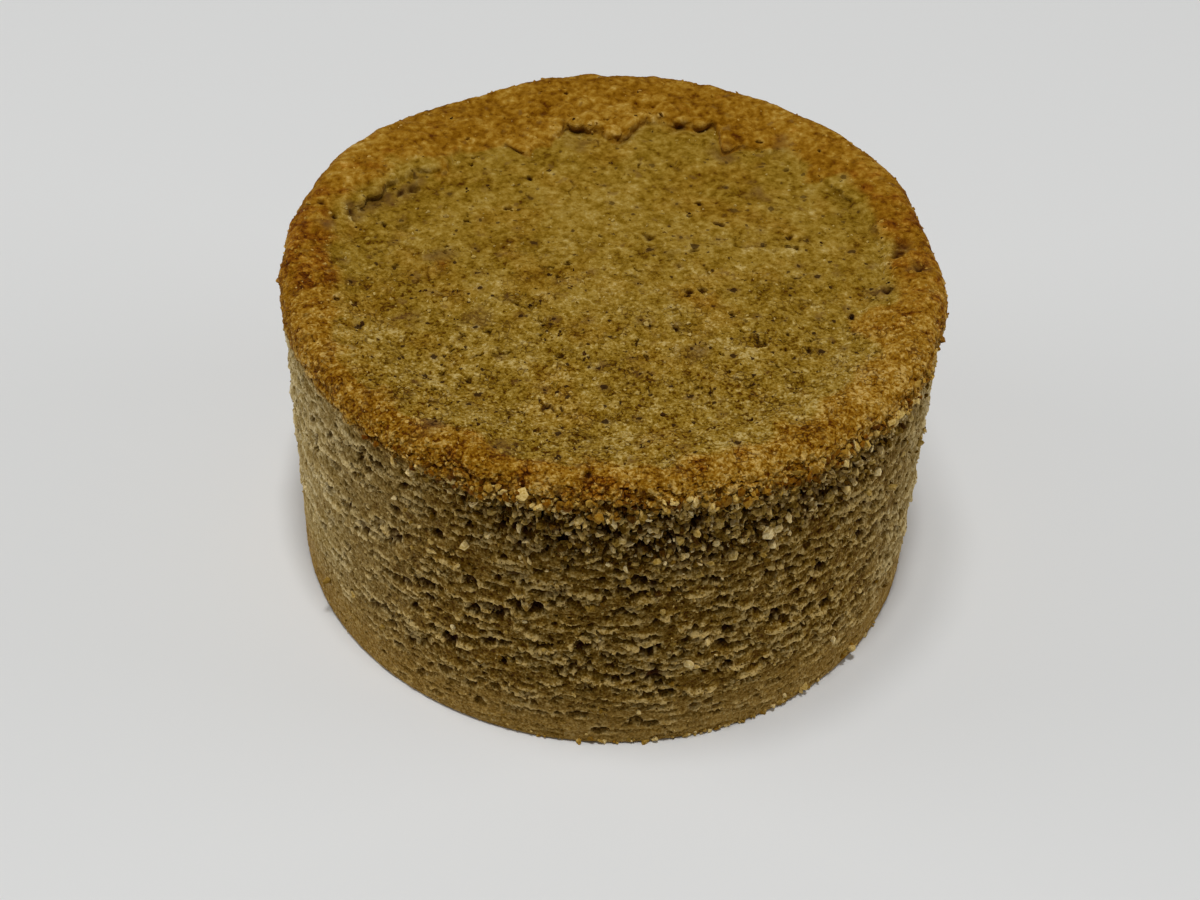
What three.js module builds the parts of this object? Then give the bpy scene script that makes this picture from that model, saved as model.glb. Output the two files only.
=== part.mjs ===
// A round egg yolk pastry, baked whole in a plain metal ring: one solid of short, crumbly dough.
// Its flat middle sank a little inside a browned rim, whose inner edge broke into a ledge at the
// back, and the ring tore the wall into rows of scales as it came off.
// Millimetres, +Z up. The origin is the middle of the underside, and -Y is the side towards the
// viewer. Angles are in degrees round +Z, counted from +X.

import * as THREE from "three";

// Driving dimensions
const wallRadius = 25; // the ring is 50 mm across inside
const height = 27.7; // table to the crest of the rim
const rimOverhang = 0.3; // the rim rose out of the ring and spread this far past the wall
const rimDepth = 2.6; // from the crest down to the rim's lower edge
const crestInset = 1.5; // from the wall's radius in to the crest
const middleDrop = 1.05; // from the crest down to the sunken middle
const rimRise = 0.15; // from the middle up to the rim's inner edge where no ledge broke
const ledgeSag = 0.2; // the ledge's broken edge lies this far under the crest
const ledgeLean = 0.4; // the broken face of the ledge leans this far outwards
const grooveDepth = 0.35; // the crack at the ledge's foot
const grooveWidth = 1; // from the crack in to the flat middle
const baseBand = 3.4; // the smooth, pressed band above the table
const baseRound = 0.3; // the base edge's rounding
const courses = 15; // rows of scales on the wall
const lipDrop = 0.28; // height of the torn step under each scale
const deepestTear = 0.85; // how far a step cuts into the wall at most
const proudestLip = 0.2; // how far a scale stands out of the wall at most
const columns = 120; // facets round the pastry

// The rim's outside from the crest to its lower edge: shares of the way out and of the way down.
const shoulder = [
  { out: 0, down: 0 },
  { out: 0.55, down: 0.06 },
  { out: 0.85, down: 0.26 },
  { out: 1, down: 0.62 },
  { out: 0.92, down: 0.97 },
];

// Where the middle's rings lie, as shares of the way out to the crack.
const middleShares = [0.36, 0.7, 1];

// Lobes: an angle, half a width, and what the pastry gains there, in millimetres unless it is a share.
const ledgeRadius = 19.2;
const ledgeLobes = [
  { at: 108, half: 36, out: -2.2 },
  { at: 60, half: 5, out: -1.5 },
  { at: 67, half: 4, out: 0.7 },
  { at: 90, half: 7, out: -2.2 },
  { at: 103, half: 5, out: 0.9 },
  { at: 112, half: 6, out: -0.9 },
  { at: 118, half: 4, out: -1.9 },
  { at: 141, half: 6, out: -1.6 },
  { at: 165, half: 22, out: 1.6 },
  { at: 15, half: 40, out: 1.6 },
  { at: 46, half: 6, out: 1.2 },
];
const ledgeStands = [
  { at: 92, half: 58, share: 1 },
  { at: 155, half: 34, share: 0.6 },
  { at: 12, half: 44, share: 0.5 },
];
const rimLobes = [
  { at: 120, half: 24, up: -0.45, out: -0.15 },
  { at: 148, half: 20, up: 0.15, out: 0.4 },
  { at: 41, half: 18, up: 0.1, out: 0.3 },
  { at: 11, half: 15, up: -0.1, out: -0.6 },
];
const frontLobe = { at: 285, half: 75 };

// Unevenness: waves of chance with so many cells round the pastry, and their size in millimetres.
const ledgeWaves = [{ cells: 60, size: 0.2, seed: 6 }];
const crestWaves = [
  { cells: 9, size: 0.1, seed: 1 },
  { cells: 41, size: 0.07, seed: 2 },
];
const rimWaves = [
  { cells: 11, size: 0.12, seed: 7 },
  { cells: 40, size: 0.1, seed: 8 },
];
const middleWaves = [{ cells: 5, size: 0.12, seed: 3 }];
const rimTopWaves = [{ cells: 37, size: 0.12, seed: 9 }];
const wallFootWaves = [{ cells: 6, size: 0.08, seed: 11 }];
const wallHeadWaves = [{ cells: 13, size: 0.1, seed: 12 }];
const courseWave = { cells: 17, size: 0.3, seed: 20 };

// Each course draws its own lip height, in millimetres, and its own share of tearing.
const lipWave = { cells: 55, size: 0.27, seed: 30 };
const tearWave = { cells: 59, size: 0.95, seed: 60 };

const fullTurn = 360;
const radians = Math.PI / 180;

// Chance

// A repeatable value from 0 to 1 for a whole number and a seed.
function chance(cell, seed) {
  const wave = Math.sin(cell * 127.1 + seed * 311.7) * 43758.5453;
  return wave - Math.floor(wave);
}

function smooth(share) {
  const held = Math.min(1, Math.max(0, share));
  return held * held * (3 - 2 * held);
}

// One wave of chance, which swings to its size either way and joins up with itself after a turn.
function waveAt(angle, { cells, size, seed }) {
  const place = (angle / fullTurn) * cells;
  const cell = Math.floor(place);
  const here = chance(cell % cells, seed);
  const next = chance((cell + 1) % cells, seed);
  return size * (2 * (here + (next - here) * smooth(place - cell)) - 1);
}

function sumWaves(angle, waves) {
  return waves.reduce((sum, wave) => sum + waveAt(angle, wave), 0);
}

// 1 at the lobe's angle, easing to 0 at half its width to either side.
function nearLobe(angle, { at, half }) {
  const away = angle - at;
  const wrapped = away - fullTurn * Math.round(away / fullTurn);
  return smooth(1 - Math.abs(wrapped) / half);
}

function sumLobes(angle, lobes, gain) {
  return lobes.reduce((sum, lobe) => sum + lobe[gain] * nearLobe(angle, lobe), 0);
}

// The top

function ledgeRadiusAt(angle) {
  return ledgeRadius + sumLobes(angle, ledgeLobes, "out") + sumWaves(angle, ledgeWaves);
}

// How much of the ledge's full height stands at this angle, from 0 to 1.
function ledgeStandAt(angle) {
  return Math.min(1, sumLobes(angle, ledgeStands, "share"));
}

function crestHeightAt(angle) {
  const largest = crestWaves.reduce((sum, wave) => sum + wave.size, 0);
  return height - largest + sumWaves(angle, crestWaves) + sumLobes(angle, rimLobes, "up");
}

function rimRadiusAt(angle) {
  return wallRadius + rimOverhang + sumWaves(angle, rimWaves) + sumLobes(angle, rimLobes, "out");
}

function middleHeightAt(angle, radius) {
  return height - middleDrop + sumWaves(angle, middleWaves) * (radius / wallRadius);
}

function ledgeHeightAt(angle) {
  const smoothRim = height - middleDrop + rimRise;
  const ledge = crestHeightAt(angle) - ledgeSag;
  return smoothRim + (ledge - smoothRim) * ledgeStandAt(angle);
}

// A ring is a function of the angle that gives its radius and height. These run outwards from the
// axis to the crack at the ledge's foot.
function middleRings() {
  const centre = () => [0, height - middleDrop];
  const flats = middleShares.map((share) => (angle) => {
    const radius = share * (ledgeRadiusAt(angle) - grooveWidth);
    return [radius, middleHeightAt(angle, radius)];
  });
  const crack = (angle) => {
    const radius = ledgeRadiusAt(angle) - ledgeLean / 2;
    return [radius, middleHeightAt(angle, radius) - grooveDepth * ledgeStandAt(angle)];
  };
  return [centre, ...flats, crack];
}

function rimRings() {
  const crestRadius = wallRadius - crestInset;
  const brokenEdge = (angle) => [ledgeRadiusAt(angle) + ledgeLean / 2, ledgeHeightAt(angle)];
  const halfWay = (angle) => {
    const z = (ledgeHeightAt(angle) + crestHeightAt(angle) + ledgeSag) / 2;
    return [(ledgeRadiusAt(angle) + crestRadius) / 2, z + sumWaves(angle, rimTopWaves)];
  };
  const outside = shoulder.map(({ out, down }) => (angle) => {
    const crest = crestHeightAt(angle);
    const foot = height - rimDepth;
    return [crestRadius + out * (rimRadiusAt(angle) - crestRadius), crest - down * (crest - foot)];
  });
  return [brokenEdge, halfWay, ...outside];
}

// The wall

// The wall's own unevenness, without the scales.
function wallRadiusAt(angle, z) {
  const foot = sumWaves(angle, wallFootWaves);
  const head = sumWaves(angle, wallHeadWaves);
  return wallRadius + foot + (head - foot) * (z / height);
}

// How torn the wall is, from 0 to 1: not at all in the base band, and most in the front's upper half.
function tornAt(angle, z) {
  const leastTorn = 0.62;
  const fadeHeight = 9;
  const front = leastTorn + (1 - leastTorn) * nearLobe(angle, frontLobe);
  return front * smooth((z - baseBand) / fadeHeight);
}

// Two rings for each row of scales: its lip, and the torn step just under it.
function wallRings() {
  const topLip = height - rimDepth - courseWave.size - lipWave.size - lipDrop;
  const pitch = (topLip - baseBand) / courses;
  const rings = [];
  for (let course = 0; course < courses; course++) {
    const lipHeightAt = (angle) => {
      const own = waveAt(angle, { ...lipWave, seed: lipWave.seed + course });
      return topLip - course * pitch + waveAt(angle, courseWave) + own;
    };
    const tearAt = (angle) => {
      const drawn = waveAt(angle, { ...tearWave, seed: tearWave.seed + course });
      return smooth(0.5 + drawn) * tornAt(angle, lipHeightAt(angle));
    };
    const lip = (angle) => {
      const z = lipHeightAt(angle);
      return [wallRadiusAt(angle, z) + proudestLip * tearAt(angle), z];
    };
    const step = (angle) => {
      const z = lipHeightAt(angle) - lipDrop;
      return [wallRadiusAt(angle, z) - deepestTear * tearAt(angle), z];
    };
    rings.push(lip, step);
  }
  return rings;
}

// The base

function baseRings() {
  const band = (z, inset) => (angle) => [wallRadiusAt(angle, z) - inset, z];
  const bandTop = band(baseBand - 2 * lipDrop, 0);
  const edgeTop = band(baseRound, 0);
  const halfTurnedIn = baseRound * (1 - Math.SQRT1_2);
  const edgeMiddle = band(halfTurnedIn, halfTurnedIn);
  const underside = () => [wallRadius - baseRound, 0];
  const centre = () => [0, 0];
  return [bandTop, edgeTop, edgeMiddle, underside, centre];
}

// The solid: a plain lathed body with one profile point for each ring, whose vertices then move to
// where their ring's function says.
function pastryGeometry() {
  const rings = [...middleRings(), ...rimRings(), ...wallRings(), ...baseRings()].reverse();
  const profile = rings.map((ring) => new THREE.Vector2(...ring(0)));
  const geometry = new THREE.LatheGeometry(profile, columns);
  const position = geometry.getAttribute("position");
  for (let index = 0; index < position.count; index++) {
    const column = Math.floor(index / rings.length) % columns;
    const angle = (column / columns) * fullTurn;
    const [radius, z] = rings[index % rings.length](angle);
    const x = radius * Math.cos(angle * radians);
    const y = radius * Math.sin(angle * radians);
    position.setXYZ(index, x, y, z);
  }
  geometry.computeVertexNormals();
  return geometry;
}

const bakedDough = new THREE.MeshStandardMaterial({
  color: 0x7d6127,
  roughness: 0.95,
  metalness: 0,
});

const pastry = new THREE.Mesh(pastryGeometry(), bakedDough);
pastry.name = "pastry";

const part = new THREE.Group();
part.add(pastry);

export default part;
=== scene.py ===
"""An egg yolk pastry: a drum of short, crumbly dough, baked whole in a plain metal ring.

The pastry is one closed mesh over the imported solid, with the same form and a finer surface: the
wall's torn scales and pits, the rim's crust, the broken ledge at the back and the grain of the
middle. Loose crumbs, pale grains and dark specks are meshes of their own. Lengths are in millimetres
until a mesh or a light is made, and angles are in degrees round +Z, counted from +X. -Y is the
viewer's side.
"""

import math

import bmesh
import bpy
import numpy as np
from mathutils import Matrix, Vector


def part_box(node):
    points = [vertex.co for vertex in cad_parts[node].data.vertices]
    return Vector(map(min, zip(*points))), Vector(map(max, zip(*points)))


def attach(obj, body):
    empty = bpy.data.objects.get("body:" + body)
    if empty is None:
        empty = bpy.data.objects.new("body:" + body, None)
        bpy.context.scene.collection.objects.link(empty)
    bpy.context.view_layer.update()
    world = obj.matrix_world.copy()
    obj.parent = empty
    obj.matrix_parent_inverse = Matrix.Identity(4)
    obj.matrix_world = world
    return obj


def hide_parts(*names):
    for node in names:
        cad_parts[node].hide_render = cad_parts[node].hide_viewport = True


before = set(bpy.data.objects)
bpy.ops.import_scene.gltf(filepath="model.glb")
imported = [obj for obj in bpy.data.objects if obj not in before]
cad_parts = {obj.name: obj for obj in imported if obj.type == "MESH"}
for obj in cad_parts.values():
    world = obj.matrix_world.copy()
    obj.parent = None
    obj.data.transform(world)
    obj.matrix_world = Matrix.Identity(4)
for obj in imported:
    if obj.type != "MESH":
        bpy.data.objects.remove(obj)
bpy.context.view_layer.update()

MM = 0.001
FULL_TURN = 360

# Sizes that the frame gives. A vertex so near the table is the underside's.
TOUCHING = 0.01
BASE_ROUND = 0.3
node_low, node_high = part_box("pastry")
HEIGHT = node_high.z / MM
UNDERSIDE_RADIUS = max(
    v.co.xy.length / MM
    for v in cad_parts["pastry"].data.vertices
    if v.co.z < node_low.z + TOUCHING * MM
)
WALL_RADIUS = UNDERSIDE_RADIUS + BASE_ROUND

# The rim and the middle
RIM_OVERHANG = 0.3
RIM_DEPTH = 2.6
RIM_FOOT = HEIGHT - RIM_DEPTH
CREST_INSET = 1.5
CREST_RADIUS = WALL_RADIUS - CREST_INSET
MIDDLE_DROP = 1.05
RIM_RISE = 0.15
LEDGE_SAG = 0.2
LEDGE_LEAN = 0.4
GROOVE_DEPTH = 0.35
GROOVE_WIDTH = 1
BASE_BAND = 3.4

# The crack at the ledge's foot: the share of its depth where a ledge stands, and more of it for each
# millimetre of undercut.
CRACK_BY_STAND = 0.2
CRACK_BY_UNDERCUT = 1.6

# The rim's outside from the crest to its lower edge: shares of the way out and of the way down.
SHOULDER = [(0, 0), (0.55, 0.06), (0.85, 0.26), (1, 0.62), (0.92, 0.97)]

# Lobes: an angle, half a width, and what the pastry gains there.
LEDGE_RADIUS = 19.2
LEDGE_LOBES = [
    (108, 36, -2.2), (60, 5, -1.5), (67, 4, 0.7), (90, 7, -2.2), (103, 5, 0.9), (112, 6, -0.9),
    (118, 4, -1.9), (141, 6, -1.6), (165, 22, 1.6), (15, 40, 1.6), (46, 6, 1.2),
]
LEDGE_STANDS = [(92, 58, 1), (155, 34, 0.6), (12, 44, 0.5)]
RIM_LIFTS = [(120, 24, -0.45), (148, 20, 0.15), (41, 18, 0.1), (11, 15, -0.1)]
RIM_SPREADS = [(120, 24, -0.15), (148, 20, 0.4), (41, 18, 0.3), (11, 15, -0.6)]

# Where the ledge overhangs its crack, and how far.
UNDERCUTS = [
    (60, 2.5, 0.25), (69, 3, 0.4), (75, 3, 0.4), (88, 6, 0.4), (101, 6, 0.5), (119, 5, 0.28),
    (159, 9, 0.4), (28, 7, 0.25),
]

# Waves of chance: cells round the pastry, size and seed.
LEDGE_WAVES = [(60, 0.2, 6), (170, 0.28, 41)]
CREST_WAVES = [(9, 0.1, 1), (41, 0.07, 2)]
RIM_WAVES = [(11, 0.12, 7), (40, 0.1, 8)]
MIDDLE_WAVES = [(5, 0.12, 3)]
RIM_TOP_WAVES = [(37, 0.12, 9)]
WALL_FOOT_WAVES = [(6, 0.08, 11)]
WALL_HEAD_WAVES = [(13, 0.1, 12)]

# The border of the browned crust where no ledge stands.
BORDER_RADIUS = 21.2
BORDER_LOBES = [
    (218, 28, 2.2), (248, 32, 2.1), (278, 34, 2.1), (310, 30, 1.1), (165, 14, 1), (341, 9, -2.4),
    (138, 12, -1.4), (37, 4, -2.4),
]
LEDGE_BORDER = (92, 62)

# Where the rim is browned more, where the wall's sides are painted paler, which is painted light for
# light from the side and a painted sheen toward the silhouettes, and how much.
TOASTED_SIDES = [(8, 45, 0.6), (178, 35, 0.7), (258, 35, 0.3), (312, 40, -0.5), (98, 60, -0.3)]
SIDE_LIGHT_LOBES = [(194, 54, 1), (356, 42, 0.95), (95, 80, 0.25)]

# Where the rim is duller, or brighter where the share is below 0; the brighter lobe at the front-right
# is painted light against the shade that falls on the rim there.
DULL_AND_LIT_SIDES = [(95, 70, 0.9), (8, 42, 0.9), (312, 42, -1.2), (268, 30, -0.3), (236, 24, 0.7)]

# Marks on the top: an angle, a distance from the axis and a size.
GOLDEN_SPOTS = [(328, 7.6, 2), (185, 13.2, 1.1), (141, 17.5, 1.6), (266, 22.2, 1)]
# Smudges; the ones at 101° and 59° are painted shadow on the middle under the ledge.
SMUDGES_AND_LEDGE_SHADOWS = [
    (238, 23.3, 1.7), (251, 22.6, 1.6), (166, 20.7, 1.3), (162, 20.1, 1.3), (158, 19.4, 1.3),
    (154, 18.7, 1.4), (150, 18.3, 1.2), (172, 22.6, 1.3), (178, 13, 1.8), (205, 17, 1.5),
    (215, 12, 1.3), (101, 15.8, 1.3), (59, 17, 1.5), (50, 20.8, 1.4), (353, 20.2, 1.5),
    (359, 23.1, 1.2), (40, 14.5, 1.4), (300, 12, 1.6),
]
DEEP_SPOTS = [
    (6.8, 22.2, 1.2), (5, 21.7, 0.8), (353, 20.6, 0.7), (352.3, 19.8, 0.6), (359.4, 23.1, 0.8),
    (169.9, 22, 0.5), (167, 23.6, 0.5), (166.6, 20.9, 0.8), (161, 20, 0.5), (152, 18.3, 0.9),
    (155, 18.9, 0.6), (267, 24, 0.5), (53.6, 4.3, 0.55), (16.7, 14.2, 0.4), (254.6, 17.1, 0.45),
    (234.1, 17.1, 0.4), (251, 11.4, 0.4), (327.3, 17.2, 0.35), (350.3, 19.5, 0.4),
]
SMALL_PITS = 60
SMALL_PIT_SIZES = (0.15, 0.36)

# A ring of the crust that is toasted more: its radius and half its width.
INNER_RING = (22.9, 1.3)

# Sides of the pastry: an angle and half a width.
FRONT = (285, 75)
CRUMBLY_FRONT = (287, 68)
BROAD_FRONT = (285, 80)
GRAINY_FRONT = (280, 90)
BRIGHT_FRONT = (272, 62)
TOASTED_FRONT = (250, 75)
SPECKLED_SIDE = (235, 70)
LEFT = (202, 52)

# What the random draws of each piece start from
SEEDS = {
    "surface": 17, "wall_crumbs": 29, "wall_grains": 43, "top_grains": 31, "specks": 37, "clinging": 41,
}

# The mesh
COLUMNS = 1056
WALL_STEP = 0.12
WALL_TOP_GAP = 0.4
RIM_ROWS = 84
BULGE_ROWS = RIM_ROWS // 5
MIDDLE_ROWS = 100
EASING_PASSES = 3
EASED_PAST_RIM = 4
FEWEST_COLUMNS = 33
FIRST_UNDER_RING = 0.985
NEXT_UNDER_RING = 0.72
WALL_LENGTH = 2 * math.pi * WALL_RADIUS
COLUMN_WIDTH = WALL_LENGTH / COLUMNS


# Chance


def smooth(share):
    held = np.clip(share, 0, 1)
    return held * held * (3 - 2 * held)


def rising(value, start, width):
    """0 up to a start, easing to 1 over a width."""
    return smooth((value - start) / width)


def chance(cell, seed):
    wave = np.sin(cell * 127.1 + seed * 311.7) * 43758.5453
    return wave - np.floor(wave)


def sum_waves(angle, waves):
    """Waves of chance round the pastry, as the solid has them."""
    total = np.zeros_like(angle)
    for cells, size, seed in waves:
        place = angle / FULL_TURN * cells
        cell = np.floor(place)
        here = chance(cell % cells, seed)
        there = chance((cell + 1) % cells, seed)
        total += size * (2 * (here + (there - here) * smooth(place - cell)) - 1)
    return total


def near(angle, at, half):
    """1 at an angle, easing to 0 at half a width to either side."""
    away = (angle - at + FULL_TURN / 2) % FULL_TURN - FULL_TURN / 2
    return smooth(1 - np.abs(away) / half)


def sum_lobes(angle, lobes):
    return sum(gain * near(angle, at, half) for at, half, gain in lobes)


# Odd numbers that mix the bits of whole numbers, and a distance past that of any grain
MIX_X, MIX_Y, MIX_Z, MIX_SEED = (np.uint32(n) for n in (374761393, 668265263, 2246822519, 3266489917))
FAR = 9.0


def lattice_chance(cells, seed):
    """A repeatable value from 0 to 1 for each row of whole numbers."""
    c = cells.astype(np.int64).astype(np.uint32)
    mixed = c[..., 0] * MIX_X + c[..., 1] * MIX_Y
    mixed += c[..., 2] * MIX_Z + np.uint32(seed * int(MIX_SEED) & 0xFFFFFFFF)
    for shift, mixer in ((15, MIX_Z), (13, MIX_SEED), (16, np.uint32(1))):
        mixed ^= mixed >> np.uint32(shift)
        mixed *= mixer
    return mixed / 2.0**32


def cloud(points, cell, seed):
    """Smooth chance from -1 to 1, with one swing for each cell of that size."""
    place = points / cell
    corner = np.floor(place)
    part = smooth(place - corner)
    total = np.zeros(points.shape[:-1])
    for step in np.ndindex(2, 2, 2):
        weight = np.prod(np.where(np.array(step) == 1, part, 1 - part), axis=-1)
        total += weight * lattice_chance(corner + np.array(step), seed)
    return 2 * total - 1


def nearby_grains(points, cell, seed):
    """For each of the 27 cells about the points, where the points lie from its grain, in cells, and
    the grain's own three chances."""
    place = points / cell
    corner = np.floor(place)
    for step in np.ndindex(3, 3, 3):
        home = corner + np.array(step) - 1
        jitter = np.stack([lattice_chance(home, seed + k) for k in range(3)], axis=-1)
        yield place - home - jitter, jitter


def grains(points, cell, seed):
    """How far the nearest of a spread of round grains stands out, and that grain's own chance."""
    nearest = np.full(points.shape[:-1], FAR)
    tone = np.zeros(points.shape[:-1])
    for offset, jitter in nearby_grains(points, cell, seed):
        distance = np.sum(offset**2, axis=-1)
        closer = distance < nearest
        nearest = np.where(closer, distance, nearest)
        tone = np.where(closer, jitter[..., 0], tone)
    return 1 - np.clip(np.sqrt(nearest), 0, 1) ** 2, tone


def plates(points, cell, seed):
    """Lumps with flat faces, each tilted and set forward or back by chance: how far the surface
    stands out, in cells, and how far the point is from a crack between two lumps."""
    nearest = np.full(points.shape[:-1], FAR)
    second = nearest.copy()
    face = np.zeros(points.shape[:-1])
    for offset, jitter in nearby_grains(points, cell, seed):
        distance = np.sum(offset**2, axis=-1)
        tilted = jitter[..., 0] - 0.5 + np.sum(offset * (2 * jitter[..., [1, 2, 0]] - 1), axis=-1)
        closer = distance < nearest
        second = np.where(closer, nearest, np.minimum(second, distance))
        face = np.where(closer, tilted, face)
        nearest = np.where(closer, distance, nearest)
    return face, np.sqrt(second) - np.sqrt(nearest)


def crinkle(points, cell, size, seed):
    """The points moved a little by chance, so that grains laid out on them lose their round shape."""
    moves = [cloud(points, cell, seed + axis) for axis in range(3)]
    return points + size * np.stack(moves, axis=-1)


def draw(rng, least, span, power, count=None):
    """Values from a least up to a span more: the larger the power, the fewer large ones."""
    return least + span * rng.random(count) ** power


# The form, as the solid has it


def ledge_radius(angle):
    return LEDGE_RADIUS + sum_lobes(angle, LEDGE_LOBES) + sum_waves(angle, LEDGE_WAVES)


def ledge_stand(angle):
    return np.minimum(1, sum_lobes(angle, LEDGE_STANDS))


def crest_height(angle):
    largest = sum(size for cells, size, seed in CREST_WAVES)
    return HEIGHT - largest + sum_waves(angle, CREST_WAVES) + sum_lobes(angle, RIM_LIFTS)


def rim_radius(angle):
    return WALL_RADIUS + RIM_OVERHANG + sum_waves(angle, RIM_WAVES) + sum_lobes(angle, RIM_SPREADS)


def middle_height(angle, radius):
    return HEIGHT - MIDDLE_DROP + sum_waves(angle, MIDDLE_WAVES) * radius / WALL_RADIUS


def ledge_height(angle):
    smooth_rim = HEIGHT - MIDDLE_DROP + RIM_RISE
    ledge = crest_height(angle) - LEDGE_SAG
    return smooth_rim + (ledge - smooth_rim) * ledge_stand(angle)


def wall_radius(angle, z):
    foot = sum_waves(angle, WALL_FOOT_WAVES)
    head = sum_waves(angle, WALL_HEAD_WAVES)
    return WALL_RADIUS + foot + (head - foot) * z / HEIGHT


def rim_knots(angle, top_of_wall):
    """The rim's profile from the wall to the flat middle: (radius, height) pairs of arrays."""
    crest = crest_height(angle)
    ledge = ledge_radius(angle)
    edge = ledge_height(angle)
    undercut = sum_lobes(angle, UNDERCUTS)
    knots = [(wall_radius(angle, top_of_wall), np.full_like(angle, top_of_wall))]
    for out, down in reversed(SHOULDER):
        radius = CREST_RADIUS + out * (rim_radius(angle) - CREST_RADIUS)
        knots.append((radius, crest - down * (crest - RIM_FOOT)))
    half_height = (edge + crest + LEDGE_SAG) / 2 + sum_waves(angle, RIM_TOP_WAVES)
    knots.append(((ledge + CREST_RADIUS) / 2, half_height))
    knots.append((ledge + LEDGE_LEAN / 2 - undercut, edge))
    crack_share = CRACK_BY_STAND * ledge_stand(angle) + CRACK_BY_UNDERCUT * undercut
    crack_height = middle_height(angle, ledge) - GROOVE_DEPTH * crack_share
    knots.append((ledge - LEDGE_LEAN / 2 + undercut / 3, crack_height))
    flat = ledge - GROOVE_WIDTH - undercut
    knots.append((flat, middle_height(angle, flat)))
    return knots


# The numbers of some knots, and what stands for them on the wall and in the middle.
ON_WALL, KNOT_CREST, KNOT_EDGE, KNOT_CRACK, KNOT_FLAT, IN_MIDDLE = -1, 5, 7, 8, 9, 10


def spread_rows(knots, count):
    """Rows evenly spaced along the knots' profile: radius, height and the knot number they lie at."""
    radius, height = np.moveaxis(np.array(knots), 1, 0)
    length = np.hypot(np.diff(radius, axis=0), np.diff(height, axis=0))
    reach = np.concatenate([np.zeros((1, COLUMNS)), np.cumsum(length, axis=0)])
    rows = np.zeros((3, count, COLUMNS))
    for column in range(COLUMNS):
        wanted = np.arange(count) / count * reach[-1, column]
        kinds = radius[:, column], height[:, column], np.arange(len(knots))
        for kind, values in enumerate(kinds):
            rows[kind, :, column] = np.interp(wanted, reach[:, column], values)
    return rows


def ease_rows(rows, first, last):
    """Rounds off the corners of the profile by averaging each row with its neighbours."""
    for _ in range(EASING_PASSES):
        below, above = rows[first - 1 : last - 1], rows[first + 1 : last + 1]
        rows[first:last] = (below + 2 * rows[first:last] + above) / 4


def form_rows(angle):
    """The whole form from the underside's edge to the middle of the top, as arrays of (rows, columns):
    radius, height and station, which is a knot number on the rim. Also how many rows the wall has."""
    bend = np.radians([[0], [30], [60]])
    foot_height = BASE_ROUND * (1 - np.cos(bend)) + 0 * angle
    foot_radius = wall_radius(angle, 0) - BASE_ROUND + BASE_ROUND * np.sin(bend)
    wall_height = np.arange(BASE_ROUND, RIM_FOOT - WALL_TOP_GAP, WALL_STEP)[:, None] + 0 * angle
    knots = rim_knots(angle, wall_height[-1, 0] + WALL_STEP)
    rim_r, rim_z, rim_station = spread_rows(knots, RIM_ROWS)
    middle_r = knots[KNOT_FLAT][0] * (1 - np.arange(MIDDLE_ROWS)[:, None] / MIDDLE_ROWS)
    radius = np.concatenate([foot_radius, wall_radius(angle, wall_height), rim_r, middle_r])
    height = np.concatenate([foot_height, wall_height, rim_z, middle_height(angle, middle_r)])
    outer = np.full((len(bend) + len(wall_height), COLUMNS), float(ON_WALL))
    inner = np.full((MIDDLE_ROWS, COLUMNS), float(IN_MIDDLE))
    station = np.concatenate([outer, rim_station, inner])
    first = len(outer) - EASED_PAST_RIM
    last = len(outer) + RIM_ROWS + EASED_PAST_RIM
    ease_rows(radius, first, last)
    ease_rows(height, first, last)
    return radius, height, station, len(outer)


# The wall's scales and pits: two numbers are the least and the most, and three go to draw(). Teeth
# are sizes and spacings of what makes an edge ragged.
LOWEST_TEAR = 1
ROW_START = (0, 2)
SCALE_SPACING = 0.92
SCALE_WIDTH = (1, 5, 2)
SCALE_OVERLAP = 0.7
SCALE_GAP = (0, 0.9)
SCALE_SHIFT = (-0.45, 0.45)
SCALE_STRENGTH = (0.4, 1.2)
SCALE_RISE = (0.6, 1.4)
SCALE_LIFT = (0.15, 0.46)
SCALE_ARC = (-0.1, 0.4)
SCALE_SLANT = (-0.16, 0.16)
SCALE_STEP = 0.1
SCALE_TEETH = [(0.16, 0.8), (0.08, 0.3)]
RAMP_POWER = 1.5
TEAR_HEIGHT = (0.34, 0.8)
TEAR_DEPTH = (0.2, 1.5, 1.2)
TEAR_WIDTH = (0.35, 0.85)
PIT_COUNT = 3600
PIT_TEETH = [(0.12, 0.35)]
PIT_WIDTH = (0.32, 1.2, 2.2)
PIT_TALLNESS = (0.4, 0.8)
PIT_DEPTH = (0.5, 1.1)
PIT_POWER = 2.2
SIDE_POWER = 2.6


def torn_share(angle, z):
    """How torn the wall is, from 0 to 1: least at the foot, and over more of its height at the left."""
    left = near(angle, *LEFT)
    foot = 0.3 - 0.08 * left
    up = rising(z, BASE_BAND - 2.2, 6 + 11 * left)
    front = 0.76 + 0.24 * near(angle, *FRONT)
    return (foot + (1 - foot) * up) * front


def ragged_line(rng, teeth):
    """A jagged line round the wall, one value a column: the sum of some sizes of teeth."""
    places = np.arange(COLUMNS) / COLUMNS * WALL_LENGTH
    line = np.zeros(COLUMNS)
    for size, spacing in teeth:
        corners = np.arange(0, WALL_LENGTH, spacing)
        line += size * np.interp(places, corners, rng.uniform(-1, 1, len(corners)))
    return line


def columns_about(place, width):
    """The columns that so wide a patch of the wall spans, and how far each lies from its middle."""
    half = int(width / 2 / COLUMN_WIDTH) + 1
    centre = int(place / COLUMN_WIDTH)
    columns = np.arange(centre - half, centre + half + 1)
    return columns, (columns - centre) * COLUMN_WIDTH


def stamp(field, low, high, columns, patch):
    """Raises the field to the patch wherever the patch is higher."""
    columns = columns % COLUMNS
    field[low:high, columns] = np.maximum(field[low:high, columns], patch)


def full_inside(u, width):
    """1 over most of a width, falling to 0 at both its sides."""
    return np.clip(1 - np.abs(2 * u / width) ** SIDE_POWER, 0, 1)


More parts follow.
